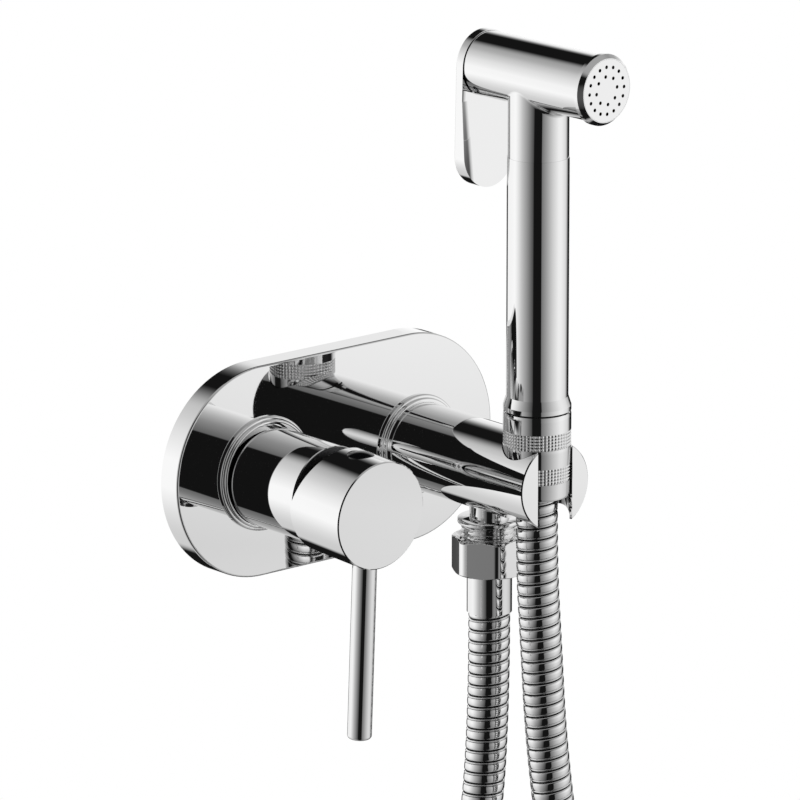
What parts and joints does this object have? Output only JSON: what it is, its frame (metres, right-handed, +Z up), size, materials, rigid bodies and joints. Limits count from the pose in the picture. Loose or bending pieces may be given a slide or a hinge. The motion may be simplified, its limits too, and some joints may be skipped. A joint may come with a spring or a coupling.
{
  "type": "concealed bidet shower mixer",
  "caption": "Concealed bidet mixer: stadium cover plate, tilting lever handle, holder arm with hose outlet, and a T-headed handset with a thumb lever on a ribbed metal hose.",
  "frame": {"origin": "middle of the cover plate's outline, on the wall's face", "axes": "+X to the right along the plate, +Y into the wall, +Z up; the handset's spray faces -Y"},
  "size_m": [0.2064, 0.1502, 0.6326],
  "materials": {
    "chrome": "polished",
    "hose_steel": "polished",
    "brass": "cast, unplated",
    "steel": "plain",
    "dark_plastic": "moulded",
    "pale_plastic": "moulded",
    "ceramic": "lapped alumina",
    "rubber": "matte",
    "foam": "matte"
  },
  "bodies": {
    "root": {"cover_plate": "chrome", "sleeve_flange": "chrome", "arm_flange": "chrome", "mixer_sleeve": "chrome", "outlet_arm": "chrome", "outlet_nipple": "chrome", "hose_nut": "chrome", "hose_ferrule": "chrome", "shower_hose": "hose_steel", "valve_body": "brass", "cartridge_nut": "brass", "hose_insert": "brass", "cartridge_base": "dark_plastic", "outlet_check_valve": "dark_plastic", "cartridge_housing": "pale_plastic", "fixed_disc": "ceramic", "base_seals": "rubber", "arm_seal": "rubber", "nut_washer": "rubber", "plate_gasket": "foam"},
    "rotor": {"stem_rotor": "dark_plastic", "stem_pin": "steel"},
    "lever": {"lever_stem": "brass", "handle_cap": "chrome", "lever_pin": "chrome", "handle_screw": "steel", "screw_plug": "dark_plastic"},
    "disc": {"disc_carrier": "pale_plastic", "moving_disc": "ceramic"},
    "hose_end": {"hose_end_ferrule": "steel", "hose_end_insert": "brass"},
    "handset": {"cone_nut": "chrome", "handset_washer": "rubber", "handset_tail": "chrome", "handset_tube": "chrome", "head_body": "chrome", "face_ring": "chrome", "spray_face": "chrome", "face_seal": "rubber", "thumb_pivot": "steel", "valve_seat": "brass", "stem_seal": "rubber", "valve_spring": "steel"},
    "thumb": {"thumb_lever": "chrome"},
    "stem": {"valve_stem": "brass", "valve_seal": "rubber"}
  },
  "joints": [
    {"name": "temperature_turn", "type": "hinge", "parent": "root", "child": "rotor", "pos_m": [-0.0334, -0.041, -0.0014], "axis": [0, -1, 0], "range_deg": [-45, 45]},
    {"name": "flow_tilt", "type": "hinge", "parent": "rotor", "child": "lever", "pos_m": [-0.0334, -0.041, -0.0014], "axis": [-1, 0, 0], "range_deg": [0, 18]},
    {"name": "disc_slide", "type": "slide", "parent": "rotor", "child": "disc", "axis": [0, 0, -1], "range_m": [0, 0.0028]},
    {"name": "handset_lift", "type": "slide", "parent": "root", "child": "hose_end", "axis": [0, 0, 1], "range_m": [0, 0.06]},
    {"name": "handset_turn", "type": "hinge", "parent": "hose_end", "child": "handset", "pos_m": [0.038, -0.0737, 0], "axis": [0, 0, 1], "continuous": true},
    {"name": "thumb_press", "type": "hinge", "parent": "handset", "child": "thumb", "pos_m": [0.037, -0.05162, 0.1365], "axis": [-0.999, -0.0454, 0], "range_deg": [0, 8], "stiffness_Nm_per_rad": 0.6, "springref_deg": -5.73},
    {"name": "stem_slide", "type": "slide", "parent": "handset", "child": "stem", "axis": [-0.0454, 0.999, 0], "range_m": [0, 0.0011]}
  ],
  "couplings": [
    {"joint": "disc_slide", "follows": "flow_tilt", "m_per_rad": 0.0085},
    {"joint": "stem_slide", "follows": "thumb_press", "m_per_rad": 0.0075}
  ]
}
